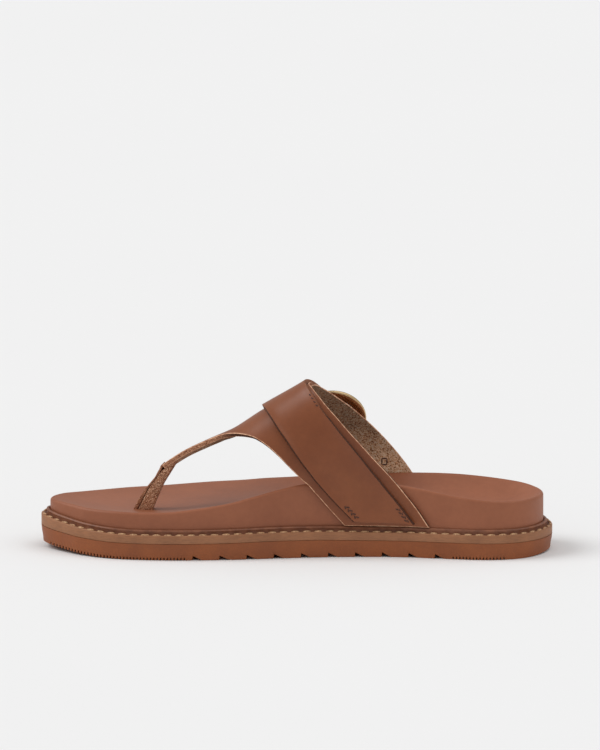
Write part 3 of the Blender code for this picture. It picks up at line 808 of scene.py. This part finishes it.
def leather_wall(piece, thickness, fullness=None, inner=1, rim_slot=2, arris=3):
    """Builds the leather's thickness outwards, skived where a fullness says, and rounds its edges."""
    solid = piece.modifiers.new("wall", "SOLIDIFY")
    if fullness is not None:
        group = piece.vertex_groups.new(name="fullness")
        for index, value in enumerate(fullness):
            group.add([index], value, "REPLACE")
        solid.vertex_group = group.name
        solid.thickness_vertex_group = SKIVED
    solid.thickness = thickness
    solid.offset = 1
    solid.use_even_offset = True
    solid.use_quality_normals = True
    solid.material_offset = inner
    solid.material_offset_rim = rim_slot
    soft = piece.modifiers.new("edge", "BEVEL")
    soft.width = EDGE_ROUND
    soft.segments = 2
    soft.limit_method = "ANGLE"
    soft.angle_limit = math.radians(50)
    soft.material = arris


grain = smooth_leather("strap grain", colour(124, 67, 37), colour(136, 77, 44), 0.4)

flesh = Finish("flesh side", 0.9, Specular_IOR_Level=0.2)
flesh_speckle = flesh.noise(1300, 3, 0.7)
flesh_cloud = flesh.noise(160, 3)
flesh_tone = flesh.ramp(
    flesh_speckle, (0.36, colour(108, 68, 44)), (0.46, colour(236, 184, 140)), (0.6, colour(255, 234, 204)))
flesh_tone = flesh.blend("MULTIPLY", 0.6, flesh_tone, flesh.ramp(flesh_cloud, (0.3, 0.65), (0.7, 1.0)))
# Painted shade: the flesh side is darkened higher up, where it lies in shade inside the wings and under the
# instep strap.
flesh.paint(flesh.blend("MULTIPLY", 1.0, flesh_tone, flesh.rising(0.036, 0.054, 1.0, 0.40)))
flesh.bump(flesh_speckle, 0.0004, 0.8)

raw = Finish("raw cut edge", 0.85, Specular_IOR_Level=0.25)
raw_speckle = raw.noise(1800, 3, 0.65)
raw_tone = raw.ramp(
    raw_speckle, (0.35, colour(104, 62, 42)), (0.5, colour(160, 108, 80)), (0.68, colour(214, 166, 132)))
# The strap's cut edges are dark: partly their dye, partly painted shade. Near the top of the strap they
# turn lighter again, a painted highlight where the ridge catches the light.
raw_dyed_and_painted_shade = raw.ramp(raw_speckle, (0.35, colour(58, 34, 24)), (0.68, colour(96, 60, 44)))
raw_ridge_painted_highlight = raw.ramp(raw_speckle, (0.35, colour(112, 68, 45)), (0.68, colour(156, 100, 72)))
raw_strap = raw.blend("MIX", raw.rising(0.070, 0.079, 0.0, 1.0), raw_dyed_and_painted_shade, raw_ridge_painted_highlight)
raw.paint(raw.blend("MIX", raw.rising(-0.040, -0.030, 0.0, 1.0, "X"), raw_tone, raw_strap))
raw.bump(raw_speckle, 0.0003, 0.7)

# Painted highlight: the small rounded arris along every cut edge is painted light tan, standing in for the
# light the edge catches.
arris = Finish("arris painted highlight", 0.6)
arris_highlight_mottle = arris.noise(500, 3)
arris.paint(arris.ramp(arris_highlight_mottle, (0.35, colour(178, 124, 94)), (0.65, colour(232, 182, 146))))

# The lateral wing is skived near its rear edge, across from the ridge and down from the strip.
SKIVE_ACROSS = 0.02
SKIVE_DOWN = 1.75
SKIVE_SPAN = 0.2

leather_slots = [grain.material, flesh.material, raw.material, arris.material]

rows = STRIP_ROWS + WING_ROWS
columns = STRIP_COLUMNS + 2 * WING_COLUMNS
bm = bmesh.new()
bmesh.ops.create_grid(bm, x_segments=rows, y_segments=columns, size=0.5)
outside = []
for face in bm.faces:
    middle = face.calc_center_median()
    if (middle.x + 0.5) * rows < STRIP_ROWS and abs(middle.y) * columns > STRIP_COLUMNS / 2:
        outside.append(face)
bmesh.ops.delete(bm, geom=outside, context="FACES")
fullness = []
for vertex in bm.verts:
    row = round((vertex.co.x + 0.5) * rows)
    way = row / STRIP_ROWS if row < STRIP_ROWS else 1 + (row - STRIP_ROWS) / WING_ROWS
    across = 2 * vertex.co.y
    vertex.co = vamp_point(way, across)
    fullness.append(1 - ease((across - SKIVE_ACROSS) / SKIVE_SPAN) * ease((way - SKIVE_DOWN) / SKIVE_SPAN))
upper = shown_piece("t_strap_vamp", bm, leather_slots, 60)
leather_wall(upper, UPPER_WALL, fullness)
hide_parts("upper")


# Instep strap
# A separate wide strap of 2 mm leather. It starts a little above the medial welt, lies over the
# vamp across the instep, and its narrowed end goes through the buckle on the lateral side.

STRAP_WALL = 0.0020
BUCKLE_RISE = 0.0083
STRAP_SKEW = 0.07
EDGE_LIFT = 0.0009
EDGE_CURL = 6
CURL_START = 0.05
CURL_SPAN = 0.35
STRAP_CUTS = (20, 170)
RING_RADIUS = 0.0168
RING_BAND = 0.0052
RING_THICK = 0.0023
RING_LIFT = 0.0050
RING_GIRTH = 0.674
RING_ALONG = 0.556
RING_REACH = 0.06
RING_MIDDLE = RING_RADIUS - RING_BAND / 2
PRONG_WIRE = 0.0022
PRONG_HOLE = 0.0052
PRONG_HOLES = (0.730, 0.825, 0.920)
# Each row: girth, negative on the medial side, front and rear edge as shares of the length, and
# lift off the vamp as a share of BUCKLE_RISE.
INSTEP_STRAP = (
    (-1.18, 0.618, 0.743, 0.00),
    (-1.09, 0.581, 0.712, 0.00),
    (-1.00, 0.549, 0.678, 0.00),
    (-0.93, 0.533, 0.652, 0.00),
    (-0.84, 0.516, 0.625, 0.00),
    (-0.75, 0.502, 0.602, 0.00),
    (-0.66, 0.490, 0.583, 0.00),
    (-0.50, 0.471, 0.557, 0.00),
    (-0.25, 0.452, 0.535, 0.00),
    (0.00, 0.443, 0.526, 0.00),
    (0.25, 0.455, 0.535, 0.00),
    (0.51, 0.490, 0.558, 0.00),
    (0.67, 0.521, 0.589, 0.06),
    (0.75, 0.538, 0.606, 0.62),
    (0.82, 0.551, 0.622, 1.00),
    (0.92, 0.574, 0.645, 0.66),
    (1.00, 0.594, 0.658, 0.44),
    (1.05, 0.612, 0.665, 0.34),
    (1.09, 0.634, 0.662, 0.29),
)


def strap_point(girth, across, curl=0.0):
    x = place(mix(follow(INSTEP_STRAP, 1, girth), follow(INSTEP_STRAP, 2, girth), across))
    skewed = girth + STRAP_SKEW * (across - 0.5)
    lift = UPPER_WALL + GAP + BUCKLE_RISE * follow(INSTEP_STRAP, 3, skewed)
    return on_last(x, girth, lift + curl)


def edge_lift(across):
    """How far wear has lifted the strap towards its front and rear edges."""
    return EDGE_LIFT * abs(2 * across - 1) ** EDGE_CURL


def buckle_frame():
    """Place of the ring: X across the strap, Y down the strap, Z out of the foot."""
    x = place(RING_ALONG)
    normal = last_normal(x, RING_GIRTH)
    ahead = strap_point(RING_GIRTH + RING_REACH, 0.5) - strap_point(RING_GIRTH - RING_REACH, 0.5)
    down = (ahead - normal * ahead.dot(normal)).normalized()
    turned = Matrix((down.cross(normal), down, normal)).transposed().to_4x4()
    turned.translation = on_last(x, RING_GIRTH, RING_LIFT)
    return turned


def punch(bm, middle, radius):
    """Cuts a round hole in a sheet and draws the cut cells in to a circle."""
    cut_cells = [face for face in bm.faces if (face.calc_center_median() - middle).length < radius]
    bmesh.ops.delete(bm, geom=cut_cells, context="FACES")
    for vertex in bm.verts:
        if vertex.is_boundary and (vertex.co - middle).length < 2 * radius:
            vertex.co = middle + (vertex.co - middle).normalized() * radius


frame_of_buckle = buckle_frame()
bm = bmesh.new()
bmesh.ops.create_grid(bm, x_segments=STRAP_CUTS[0], y_segments=STRAP_CUTS[1], size=0.5)
for vertex in bm.verts:
    girth = mix(INSTEP_STRAP[0][0], INSTEP_STRAP[-1][0], vertex.co.y + 0.5)
    across = vertex.co.x + 0.5
    vertex.co = strap_point(girth, across, edge_lift(across) * ease((CURL_START - girth) / CURL_SPAN))
for girth in PRONG_HOLES:
    punch(bm, strap_point(girth, 0.5), PRONG_HOLE / 2)
bmesh.ops.delete(bm, geom=[vertex for vertex in bm.verts if not vertex.link_faces], context="VERTS")
strap = shown_piece("instep_strap_leather", bm, leather_slots, 60)
leather_wall(strap, STRAP_WALL)
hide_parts("instep_strap")


# Strap stitches
# Short dark stitches in pairs of rows hold the strap's lower end to the vamp, and a few more run
# along its rear edge near the top. A small box of stitches shows on the vamp's flesh side.

TACK_LENGTH = 0.0011
TACK_WIDTH = 0.0008
TACK_PITCH = 0.0023
TACK_TILT = 0.6
TACK_FIRST = -1.095
TACK_FINAL = -1.17
ROW_SAMPLES = 400
# Each row: way in from an edge of the strap, and the edge: front 1, rear -1.
TACK_ROWS = ((0.0034, 1), (0.0047, 1), (0.0019, -1), (0.0032, -1))
BOX_AT = (0.6575, 0.948)
BOX_SIZE = (0.0026, 0.0032)
BOX_CORNER = 0.08

dark_thread = Finish("dark thread", 0.7)
dark_twist = dark_thread.noise(1400, 2)
dark_thread.paint(dark_thread.ramp(dark_twist, (0.3, colour(52, 28, 20)), (0.7, colour(92, 54, 38))))


def tack(bm, start, end, outward, width=TACK_WIDTH):
    """One stitch as a capsule between two points, half sunk in the leather."""
    made = bmesh.ops.create_uvsphere(bm, u_segments=8, v_segments=6, radius=0.5)["verts"]
    ahead = (end - start).normalized()
    side = outward.cross(ahead).normalized()
    turned = Matrix((ahead, side, ahead.cross(side))).transposed().to_4x4()
    turned.translation = (start + end) / 2
    size = Matrix.Diagonal(((end - start).length + width, width, width, 1.0))
    bmesh.ops.transform(bm, matrix=turned @ size, verts=made)


def strap_row(bm, inset, from_edge, first, final, tilt):
    """Row of stitches a little in from the strap's front (1) or rear (-1) edge."""
    walked = 0.0
    spot_before = None
    for i in range(ROW_SAMPLES):
        girth = mix(first, final, i / (ROW_SAMPLES - 1))
        width = (strap_point(girth, 1.0) - strap_point(girth, 0.0)).length
        across = inset / width if from_edge > 0 else 1 - inset / width
        spot = strap_point(girth, across, STRAP_WALL + edge_lift(across))
        if spot_before is not None:
            walked += (spot - spot_before).length
            if walked >= TACK_PITCH:
                walked = 0.0
                run = (spot - spot_before).normalized()
                out = last_normal(spot.x, girth)
                way = (run + out.cross(run) * tilt).normalized() * TACK_LENGTH / 2
                tack(bm, spot - way, spot + way, out)
        spot_before = spot


bm = bmesh.new()
for number, (inset, from_edge) in enumerate(TACK_ROWS):
    strap_row(bm, inset, from_edge, TACK_FIRST, TACK_FINAL, TACK_TILT if number % 2 else -TACK_TILT)
strap_row(bm, inset=0.0012, from_edge=-1, first=-0.30, final=-0.47, tilt=0.5)
box_x = place(BOX_AT[0])
inward = -last_normal(box_x, BOX_AT[1])
box_middle = last_point(box_x, BOX_AT[1])
box_up = (last_point(box_x, BOX_AT[1] - 0.02) - box_middle).normalized()
box_side = inward.cross(box_up).normalized()
corners = [
    box_middle + box_side * BOX_SIZE[0] / 2 * i + box_up * BOX_SIZE[1] / 2 * k
    for i, k in ((-1, -1), (1, -1), (1, 1), (-1, 1))]
for start, end in zip(corners, corners[1:] + corners[:1]):
    tack(bm, start.lerp(end, BOX_CORNER), start.lerp(end, 1 - BOX_CORNER), inward)
tacks = shown_piece("strap_stitches", bm, [dark_thread.material], 180)


# Toe post
# A stack of leather with raw, speckled edges stands between the first two toes. A thin leather
# strip covers its front and ends in a raw tip, and the toe strip is glued on top of the stack.

POST_CUTS = 11
POST_ROUND = 0.0006
SEAM = 0.0004


def post_block(near, far, top, cuts):
    """Block of the post between two depths behind its front, from the footbed to a way up it."""
    bm = bmesh.new()
    bmesh.ops.create_cube(bm, size=1.0)
    rising = [side for side in bm.edges if abs(side.verts[0].co.z - side.verts[1].co.z) > 0.5]
    bmesh.ops.subdivide_edges(bm, edges=rising, cuts=cuts, use_grid_fill=True)
    for vertex in bm.verts:
        way = top * (vertex.co.z + 0.5)
        depth = mix(near, far, vertex.co.x + 0.5)
        y = BALL_WIDTH * POST_ACROSS + way * POST_SWAY + POST_WIDTH * vertex.co.y
        foot = footbed_height(post_side(0.0, depth), y) - GAP
        head = last_height(post_side(1.0, depth), y) + GAP
        vertex.co = (post_side(way, depth), y, mix(foot, head, way))
    corners = [side for side in bm.edges if side.calc_face_angle(0) > 0.8]
    bmesh.ops.bevel(
        bm, geom=corners, offset=POST_ROUND * 0.5, segments=2, profile=0.5, affect="EDGES", material=-1)
    bmesh.ops.recalc_face_normals(bm, faces=bm.faces)
    return bm


stacked = Finish("stacked leather edge", 0.9, Specular_IOR_Level=0.2)
stack_speckle = stacked.noise(2100, 3, 0.7)
stack_cloud = stacked.noise(300, 2)
stack_tone = stacked.ramp(
    stack_speckle, (0.38, colour(98, 52, 32)), (0.5, colour(186, 128, 94)), (0.62, colour(250, 210, 176)))
stacked.paint(stacked.blend("MULTIPLY", 0.5, stack_tone, stacked.ramp(stack_cloud, (0.3, 0.6), (0.7, 1.0))))
stacked.bump(stack_speckle, 0.0005, 0.9)

bm = post_block(COVER_WALL + SEAM, POST_DEPTH, 1.0, POST_CUTS)
post = shown_piece("toe_post_stack", bm, [stacked.material], 40)
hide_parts("toe_post")
bm = post_block(0.0, COVER_WALL, POST_COURSE[-1][0], POST_CUTS)
cover = shown_piece("toe_post_cover", bm, [raw.material], 40)
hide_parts("post_cover")


# Buckle
# A round ring of pale gold metal with a domed face, and a wire prong that swings on the ring's
# lower side. Both are cast and polished.

RING_SQUARE = 0.7
RING_STEPS = 96
RING_SIDES = 28
RING_MERGE = 0.00001


def wire(bm, course, thickness, segments=16):
    """Round wire along a course of points, closed at both ends."""
    start = bmesh.ops.create_circle(bm, segments=segments, radius=thickness / 2, cap_ends=True)["verts"]
    ring = [(vertex, vertex.co.copy()) for vertex in start]
    for i, spot in enumerate(course):
        ahead = (course[min(i + 1, len(course) - 1)] - course[max(i - 1, 0)]).normalized()
        side = ahead.cross(Vector((1.0, 0.0, 0.0))).normalized()
        if i:
            loop = [vertex for vertex, _ in ring]
            sides = [side_of for side_of in bm.edges if all(v in loop for v in side_of.verts)]
            made = bmesh.ops.extrude_edge_only(bm, edges=sides)["geom"]
            twins = [vertex for vertex in made if isinstance(vertex, bmesh.types.BMVert)]
            ring = [(min(twins, key=lambda v, o=old: (v.co - o.co).length), flat) for old, flat in ring]
        for vertex, flat in ring:
            vertex.co = spot + Vector((flat.x, 0.0, 0.0)) + side * flat.y
    bmesh.ops.contextual_create(bm, geom=[vertex for vertex, _ in ring])


gilt = Finish("pale gold metal", 0.26, Metallic=1.0)
gilt_wear = gilt.noise(220, 3)
gilt.paint(gilt.ramp(gilt_wear, (0.3, colour(190, 162, 122)), (0.7, colour(212, 184, 142))))
gilt.gloss(gilt_wear, 0.2, 0.34)
gilt.bump(gilt.noise(900, 2), 0.00003, 0.3)

bm = bmesh.new()
profile = bmesh.ops.create_circle(bm, segments=RING_SIDES, radius=1.0)["verts"]
for vertex in profile:
    across = math.copysign(abs(vertex.co.x) ** RING_SQUARE, vertex.co.x)
    high = math.copysign(abs(vertex.co.y) ** RING_SQUARE, vertex.co.y)
    vertex.co = (RING_MIDDLE + RING_BAND / 2 * across, 0.0, RING_THICK / 2 * high)
bmesh.ops.spin(
    bm, geom=bm.edges[:] + bm.verts[:], cent=(0, 0, 0), axis=(0, 0, 1), angle=2 * math.pi, steps=RING_STEPS,
    use_merge=True)
bmesh.ops.remove_doubles(bm, verts=bm.verts, dist=RING_MERGE)
bmesh.ops.transform(bm, matrix=frame_of_buckle, verts=bm.verts)
bmesh.ops.recalc_face_normals(bm, faces=bm.faces)
ring_piece = shown_piece("buckle_ring_metal", bm, [gilt.material], 40)
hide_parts("buckle_ring")

inner = RING_MIDDLE - RING_BAND / 2 - GAP - PRONG_WIRE / 2
rest = RING_THICK / 2 + GAP + PRONG_WIRE / 2
PRONG_COURSE = (
    (inner, -0.55 * RING_THICK),
    (0.72 * inner, 0.2 * PRONG_WIRE),
    (0.42 * inner, 1.45 * rest),
    (0.0, 1.50 * rest),
    (-0.6 * inner, 1.25 * rest),
    (-RING_MIDDLE, 1.04 * rest),
    (-RING_MIDDLE - 0.35 * RING_BAND, 0.95 * rest),
)
bm = bmesh.new()
wire(bm, [Vector((0.0, down, out)) for down, out in PRONG_COURSE], PRONG_WIRE)
bmesh.ops.transform(bm, matrix=frame_of_buckle, verts=bm.verts)
bmesh.ops.recalc_face_normals(bm, faces=bm.faces)
prong = shown_piece("buckle_prong_metal", bm, [gilt.material], 50)
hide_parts("buckle_prong")


# Buckle tab
# A short leather strap that starts just above the lateral welt. It goes under the ring's lower
# side, folds round it and lies back on itself, with a slot for the prong.

TAB_WALL = 0.0011
TAB_WIDTH = 0.0110
TAB_SLOT = 0.0032
TAB_COLUMNS = 12
TAB_RISE = 24
TAB_FOLD_STEPS = 12
# Each row: girth, middle of the tab as a share of the length.
TAB_COURSE = (
    (1.20, 0.680),
    (1.12, 0.663),
    (1.04, 0.641),
    (1.00, 0.628),
    (0.93, 0.616),
)


def fold_course():
    """The tab's fold round the ring's lower side: way down from the band's inner edge, way out."""
    reach = RING_THICK / 2 + GAP + TAB_WALL
    centre = reach - 1.4 * GAP - TAB_WALL
    course = [(RING_BAND * 1.25, -reach)]
    for i in range(TAB_FOLD_STEPS + 1):
        angle = math.pi * i / TAB_FOLD_STEPS
        course.append((centre - reach * math.sin(angle), -reach * math.cos(angle)))
    course.append((RING_BAND * 0.2, reach))
    return course


tab_girths = [(-row[0], row[1]) for row in TAB_COURSE]
tab_rows = []
for i in range(TAB_RISE + 1):
    girth = mix(TAB_COURSE[0][0], TAB_COURSE[-1][0], i / TAB_RISE)
    tab_rows.append((girth, None))
tab_rows += [(None, spot) for spot in fold_course()]
bm = bmesh.new()
bmesh.ops.create_grid(bm, x_segments=len(tab_rows) - 1, y_segments=TAB_COLUMNS, size=0.5)
slot_faces = []
for face in bm.faces:
    middle = face.calc_center_median()
    row = (middle.x + 0.5) * (len(tab_rows) - 1)
    if TAB_RISE + 1 < row < len(tab_rows) - 1 and abs(middle.y) * TAB_WIDTH < TAB_SLOT / 2:
        slot_faces.append(face)
for vertex in bm.verts:
    girth, spot = tab_rows[round((vertex.co.x + 0.5) * (len(tab_rows) - 1))]
    off = TAB_WIDTH * vertex.co.y
    if spot is None:
        middle = place(follow(tab_girths, 1, -girth))
        vertex.co = on_last(middle + off, girth, UPPER_WALL + GAP)
    else:
        bar = math.sqrt((RING_MIDDLE - RING_BAND / 2) ** 2 - off ** 2)
        vertex.co = frame_of_buckle @ Vector((off, bar + spot[0], spot[1]))
bmesh.ops.delete(bm, geom=slot_faces, context="FACES")
tab = shown_piece("buckle_tab_leather", bm, leather_slots, 60)
leather_wall(tab, TAB_WALL)
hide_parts("buckle_tab")


# Floor, light and camera
# A pale plain floor under soft studio light. The camera looks at the medial side from a little
# above, through a long lens.

AZIMUTH = math.radians(5.4)
ELEVATION = math.radians(10.5)
DISTANCE = 12.0
FIELD_HEIGHT = 0.375
SENSOR = 36.0
SHIFT_RIGHT = 0.00115
SHIFT_UP = 0.08505
SKY_STRENGTH = 0.52
FLOOR_RADIUS = 14.0

to_right = Vector((math.cos(AZIMUTH), math.sin(AZIMUTH), 0.0))
ahead = Vector((
    -math.sin(AZIMUTH) * math.cos(ELEVATION),
    math.cos(AZIMUTH) * math.cos(ELEVATION),
    -math.sin(ELEVATION),
))
to_up = to_right.cross(ahead)
camera_data = bpy.data.cameras.new("camera")
camera_data.sensor_width = SENSOR
camera_data.lens = SENSOR * DISTANCE / FIELD_HEIGHT
camera_data.clip_end = 100.0
camera = bpy.data.objects.new("camera", camera_data)
camera.location = to_right * SHIFT_RIGHT + to_up * SHIFT_UP - ahead * DISTANCE
camera.rotation_mode = "QUATERNION"
camera.rotation_quaternion = ahead.to_track_quat("-Z", "Y")
bpy.context.scene.collection.objects.link(camera)
bpy.context.scene.camera = camera

bpy.context.scene.view_settings.view_transform = "Standard"
world = bpy.data.worlds.new("studio")
world.use_nodes = True
world.node_tree.nodes["Background"].inputs["Color"].default_value = (1.0, 1.0, 1.0, 1.0)
world.node_tree.nodes["Background"].inputs["Strength"].default_value = SKY_STRENGTH
bpy.context.scene.world = world

# Each light: name, strength, how wide it looks in degrees, and its turn about X and Y in degrees.
for name, strength, angle, turned in (
    ("right softbox", 0.73, 60, (8, 30)),
    ("left softbox", 1.34, 36, (4, -44)),
):
    sun = bpy.data.lights.new(name, "SUN")
    sun.energy = strength
    sun.angle = math.radians(angle)
    lamp = bpy.data.objects.new(name, sun)
    lamp.rotation_euler = (math.radians(turned[0]), math.radians(turned[1]), 0.0)
    bpy.context.scene.collection.objects.link(lamp)

paper = Finish("pale floor", 0.9, Specular_IOR_Level=0.0)
paper.paint(paper.ramp(paper.noise(3, 2), (0.0, colour(238, 238, 238)), (1.0, colour(239, 239, 239))))
bm = bmesh.new()
bmesh.ops.create_circle(bm, segments=64, radius=FLOOR_RADIUS, cap_ends=True)
floor_mesh = bpy.data.meshes.new("floor")
bm.to_mesh(floor_mesh)
bm.free()
floor_mesh.materials.append(paper.material)
floor = bpy.data.objects.new("floor", floor_mesh)
bpy.context.scene.collection.objects.link(floor)
